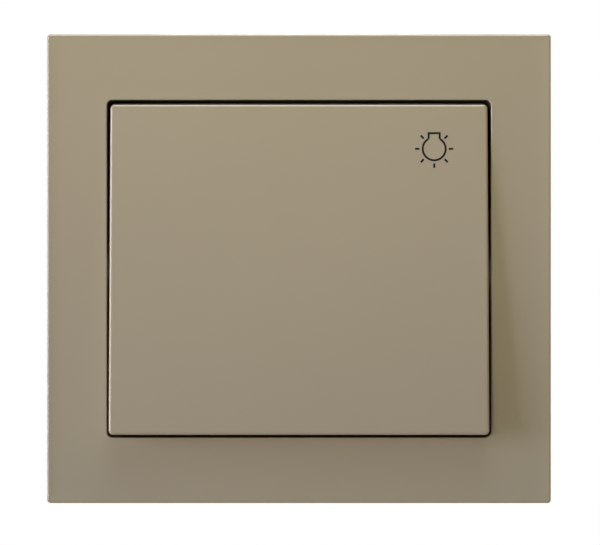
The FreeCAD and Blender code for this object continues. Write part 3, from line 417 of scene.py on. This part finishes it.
low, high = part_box("ring_rivets")
grip = high.y - low.y - 2 * RIVET_HEAD_HEIGHT
rivet = headed_pin(RIVET_SIDES, RIVET_HEAD_RADIUS, RIVET_HEAD_HEIGHT, RIVET_RADIUS, grip)
bpy.ops.mesh.extrude_region_move(TRANSFORM_OT_translate={"value": (0, 0, 0)})
spread = RIVET_HEAD_RADIUS / RIVET_RADIUS
bpy.ops.transform.resize(value=(spread, 1, spread), center_override=(0, grip, 0))
bpy.ops.mesh.extrude_region_move(TRANSFORM_OT_translate={"value": (0, RIVET_HEAD_HEIGHT, 0)})
ends = (-RIVET_HEAD_HEIGHT, grip + RIVET_HEAD_HEIGHT)
pick_edges(rivet, lambda point: min(abs(point.y - end) for end in ends) < ON_PLANE)
bpy.ops.mesh.bevel(offset=RIVET_RIM, segments=5)
bpy.ops.object.mode_set(mode="OBJECT")
rivet.location.y = low.y + RIVET_HEAD_HEIGHT
four_copies(rivet, high.x - RIVET_HEAD_RADIUS, high.z - RIVET_HEAD_RADIUS)
settle(rivet, "flange_rivets", zinc_plate)
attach(rivet, "insert")
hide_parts("ring_rivets")

# Cover frame: one thermoplastic moulding that latches onto the ring's lugs. Its bands have sunk in
# the mould, so that both rims stand up by about a tenth of a millimetre. It is sprayed from the
# front with satin bronze lacquer, fine flakes in a warm base, and its rear stays bare and dull. The
# bare plastic's dark brown also covers the opening's walls inside the gap, where it is partly painted
# shade.

LACQUER_CLOUD = 25 * MM
FLAKE_SIZE = 0.25 * MM  # the real flakes are about a tenth of this, too fine to show
LACQUER_DEPTH = 0.8 * MM
OUTER_WALL = 1.0 * MM
OPENING_HALF = (32.78 * MM, 28.80 * MM)
RIM_WIDTH = 2.6 * MM
OUTER_RISE = 0.13 * MM
INNER_RISE = 0.05 * MM
RIM_STEPS = 5

lacquer, tree, shader, place = new_material(
    "bronze_lacquer", IOR=1.43, Specular_Tint=linear("#ffe08a"),
    Coat_Weight=0.2, Coat_Roughness=0.14, Coat_IOR=1.5)
cloud = add_node(tree, "ShaderNodeTexNoise", {
    "Vector": place, "Scale": 1 / LACQUER_CLOUD, "Detail": 2.0})
flake = add_node(tree, "ShaderNodeTexNoise", {
    "Vector": place, "Scale": 1 / FLAKE_SIZE, "Detail": 1.0})
pattern(tree, shader, cloud.outputs["Fac"], "#9b8e79", "#9f927d", flake.outputs["Fac"], 0.44, 0.48)
# Dark brown bare plastic: the rear's own colour, and on the opening's walls a painted shade for the gap
# round the rocker.
bare_plastic_and_gap_shade = moulded_plastic("bare_plastic_and_gap_shade", "#554022", "#5e492a", 0.8, ior=1.2)
low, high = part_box("cover_frame")
shell = merged_copy("cover_frame")
cut_across((0, low.y + LACQUER_DEPTH, 0), (0, 1, 0))
sides = [((1, 0, 0), high.x, OPENING_HALF[0]), ((0, 0, 1), high.z, OPENING_HALF[1])]
for step in range(1, RIM_STEPS + 1):
    inset = RIM_WIDTH * step / RIM_STEPS
    for axis, outer, inner in sides:
        for reach in (outer - inset, inset - outer, inner + inset, -inner - inset):
            cut_across(Vector(axis) * reach, axis)
bpy.ops.object.mode_set(mode="OBJECT")
for vertex in shell.data.vertices:
    point = vertex.co
    if point.y < low.y + LACQUER_DEPTH / 2:
        outer = min(high.x - abs(point.x), high.z - abs(point.z))
        inner = max(abs(point.x) - OPENING_HALF[0], abs(point.z) - OPENING_HALF[1])
        point.y -= OUTER_RISE * max(0.0, 1 - outer / RIM_WIDTH) ** 2
        point.y -= INNER_RISE * max(0.0, 1 - inner / RIM_WIDTH) ** 2
settle(shell, "frame_shell", lacquer)
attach(shell, "insert")
shell.data.materials.append(bare_plastic_and_gap_shade)
# Faces behind the lacquer take the dark bare plastic, the opening's walls inside the gap among them,
# which paints the gap's shade.
for face in shell.data.polygons:
    inward = min(high.x - abs(face.center.x), high.z - abs(face.center.z))
    if face.center.y > low.y + LACQUER_DEPTH and inward >= OUTER_WALL:
        face.material_index = 1
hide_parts("cover_frame")

# Rocker: the large push button, a thin moulding with a skirt, finished as the frame is. It snaps
# onto the cradle and stands tilted at rest, its lower edge proud of the frame.

dress(lacquer, "rocker")

# Lamp sign: a small lamp with rays, printed in black ink on the rocker's upper right corner. The
# ink lies as a thin dull film on the lacquer.

SIGN_PLACE = (23.03 * MM, 20.11 * MM)
SIGN_LINE = 0.34 * MM
SIGN_FILM = 0.02 * MM
BULB_RADIUS = 1.955 * MM
BULB_STEPS = 96
NECK_HALF = 0.94 * MM
NECK_TOP = 2.69 * MM
RAY_START = 2.49 * MM
RAY_END = 3.26 * MM
RAY_ANGLES = (0, 45, 135, 180, 225, 270, 315)
INK_SPECK = 0.2 * MM  # coarser than the real specks, so that they show

press = joint_named("rocker_press")
pivot = Vector(press["pos_m"])
tilt = Matrix.Rotation(-math.radians(press["range_deg"][1]), 4, "X")
outward = tilt @ Vector((0, -1, 0))
face_level = max(outward.dot(vertex.co - pivot) for vertex in frame["nodes"]["rocker"].data.vertices)


def sign_bar(start, end):
    """A straight printed line between two points of the sign, lying in the plane z = 0."""
    middle, run = (start + end) / 2, end - start
    bpy.ops.mesh.primitive_plane_add(size=1.0, location=(middle.x, middle.y, 0),
                                     rotation=(0, 0, math.atan2(run.y, run.x)))
    bar = bpy.context.object
    bar.scale = (run.length, SIGN_LINE, 1)
    return bar


start_piece()
bpy.ops.mesh.primitive_circle_add(vertices=BULB_STEPS, radius=BULB_RADIUS - SIGN_LINE / 2)
bulb = bpy.context.object
bpy.ops.object.mode_set(mode="EDIT")
bpy.ops.mesh.extrude_region_move(TRANSFORM_OT_translate={"value": (0, 0, 0)})
widen = (BULB_RADIUS + SIGN_LINE / 2) / (BULB_RADIUS - SIGN_LINE / 2)
bpy.ops.transform.resize(value=(widen, widen, 1), center_override=(0, 0, 0))
pick_faces(bulb, lambda middle, normal: middle.y > 0 and abs(middle.x) < NECK_HALF)
bpy.ops.mesh.delete(type="FACE")
bpy.ops.object.mode_set(mode="OBJECT")
foot = math.sqrt(BULB_RADIUS ** 2 - NECK_HALF ** 2)
corners = [Vector((side * NECK_HALF, height)) for side in (-1, 1) for height in (foot, NECK_TOP)]
overlap = Vector((SIGN_LINE / 2, 0))
bars = [sign_bar(corners[0], corners[1]), sign_bar(corners[2], corners[3]),
        sign_bar(corners[1] - overlap, corners[3] + overlap)]
for angle in RAY_ANGLES:
    way = Vector((math.cos(math.radians(angle)), math.sin(math.radians(angle))))
    bars.append(sign_bar(way * RAY_START, way * RAY_END))
take(bulb, *bars)
bpy.ops.object.join()
edit_all(bulb)
bpy.ops.mesh.normals_make_consistent(inside=False)
bpy.ops.mesh.extrude_region_move(TRANSFORM_OT_translate={"value": (0, 0, SIGN_FILM)})
bpy.ops.mesh.select_all(action="SELECT")
bpy.ops.mesh.normals_make_consistent(inside=False)
bpy.ops.object.mode_set(mode="OBJECT")
stand_up = Matrix.Rotation(math.radians(90), 4, "X")
place_on_face = Matrix.Translation((SIGN_PLACE[0], -face_level, SIGN_PLACE[1])) @ stand_up
bulb.matrix_world = Matrix.Translation(pivot) @ tilt @ place_on_face
black_print, tree, shader, place = new_material("black_print", IOR=1.2)
speck = add_node(tree, "ShaderNodeTexNoise", {"Vector": place, "Scale": 1 / INK_SPECK})
pattern(tree, shader, speck.outputs["Fac"], "#0a0805", "#120e09", speck.outputs["Fac"], 0.7, 0.85)
settle(bulb, "lamp_sign", black_print)
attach(bulb, "rocker")

# Studio: a plain pale floor below the view, a white surround, cool soft boxes to the left and
# overhead with two strips that show in reflections only, a warm spot at the camera's upper left, a
# small fill at the right and a narrow box above behind. The camera stands square to the switch.

FLOOR_LEVEL = -250 * MM
FLOOR_RADIUS = 400 * MM
AMBIENT = 0.135
STRIP_SIZE = 0.5
SPOT_ANGLE = math.radians(26)
SPOT_RADIUS = 0.1
CAMERA_PLACE = (0.17 * MM, -443 * MM, -0.64 * MM)
CAMERA_LENS = 152.3
CAMERA_SENSOR = 36.0

start_piece()
bpy.ops.mesh.primitive_circle_add(vertices=96, radius=FLOOR_RADIUS, fill_type="NGON",
                                  location=(0, 0, FLOOR_LEVEL))
floor = bpy.context.object
pale_floor = new_material("pale_floor", Base_Color=linear("#ebe4d6"), Roughness=0.8)[0]
floor.data.materials.append(pale_floor)

world = bpy.data.worlds.new("white_surround")
bpy.context.scene.world = world
world.use_nodes = True
tree = world.node_tree
tree.nodes.clear()
path = add_node(tree, "ShaderNodeLightPath", {})
seen = add_node(tree, "ShaderNodeMath", {
    0: path.outputs["Is Camera Ray"], 1: path.outputs["Is Glossy Ray"]}, operation="MAXIMUM")
shown = add_node(tree, "ShaderNodeMath", {
    0: seen.outputs["Value"], 1: path.outputs["Is Transmission Ray"]}, operation="MAXIMUM")
ambient = add_node(tree, "ShaderNodeBackground", {"Color": linear("#fff3bc"), "Strength": AMBIENT})
white = add_node(tree, "ShaderNodeBackground", {"Color": linear("#ffffff"), "Strength": 1.0})
surround = add_node(tree, "ShaderNodeMixShader", {
    0: shown.outputs["Value"], 1: ambient.outputs["Background"], 2: white.outputs["Background"]})
add_node(tree, "ShaderNodeOutputWorld", {"Surface": surround.outputs["Shader"]})


def hang_light(lamp, place, aim, power, colour):
    """Hangs a lamp so that it points at its aim."""
    lamp.energy = power
    lamp.color = linear(colour)[:3]
    holder = bpy.data.objects.new(lamp.name, lamp)
    holder.location = place
    holder.rotation_euler = (Vector(aim) - Vector(place)).to_track_quat("-Z", "Y").to_euler()
    bpy.context.collection.objects.link(holder)
    return holder


for name, place, width, height, power, colour in (
        ("left_box", (-1.0, -0.40, 0.10), 0.6, 0.6, 13.4, "#c7d5ff"),
        ("top_box", (0.0, -0.30, 0.80), 0.5, 0.5, 2.8, "#cadfff"),
        ("right_fill", (0.90, 0.42, 0.0), 0.28, 0.4, 4.0, "#f4f7ff"),
        ("rear_box", (0.0, 0.85, 0.45), 0.15, 0.5, 4.5, "#fffaf0")):
    lamp = bpy.data.lights.new(name, "AREA")
    lamp.shape = "RECTANGLE"
    lamp.size = width
    lamp.size_y = height
    hang_light(lamp, place, (0, 0, 0), power, colour)
for name, place, power in (
        ("left_strip", (-0.80, -0.25, 0.10), 13.0),
        ("top_strip", (0.0, -0.30, 0.80), 31.0)):
    lamp = bpy.data.lights.new(name, "AREA")
    lamp.size = STRIP_SIZE
    strip = hang_light(lamp, place, (0, 0, 0), power, "#e4f0ff")
    strip.visible_diffuse = False
lamp = bpy.data.lights.new("front_spot", "SPOT")
lamp.spot_size = SPOT_ANGLE
lamp.spot_blend = 1.0
lamp.shadow_soft_size = SPOT_RADIUS
spot = hang_light(lamp, (-0.25, -0.9, 0.15), (0, 0, 0.12), 20.4, "#fff6cd")
spot.visible_glossy = False

camera = bpy.data.objects.new("camera", bpy.data.cameras.new("camera"))
camera.location = CAMERA_PLACE
camera.rotation_euler = (math.radians(90), 0, 0)
camera.data.lens = CAMERA_LENS
camera.data.sensor_width = CAMERA_SENSOR
camera.data.clip_start = 0.01
bpy.context.collection.objects.link(camera)
bpy.context.scene.camera = camera
bpy.context.scene.view_settings.view_transform = "Standard"
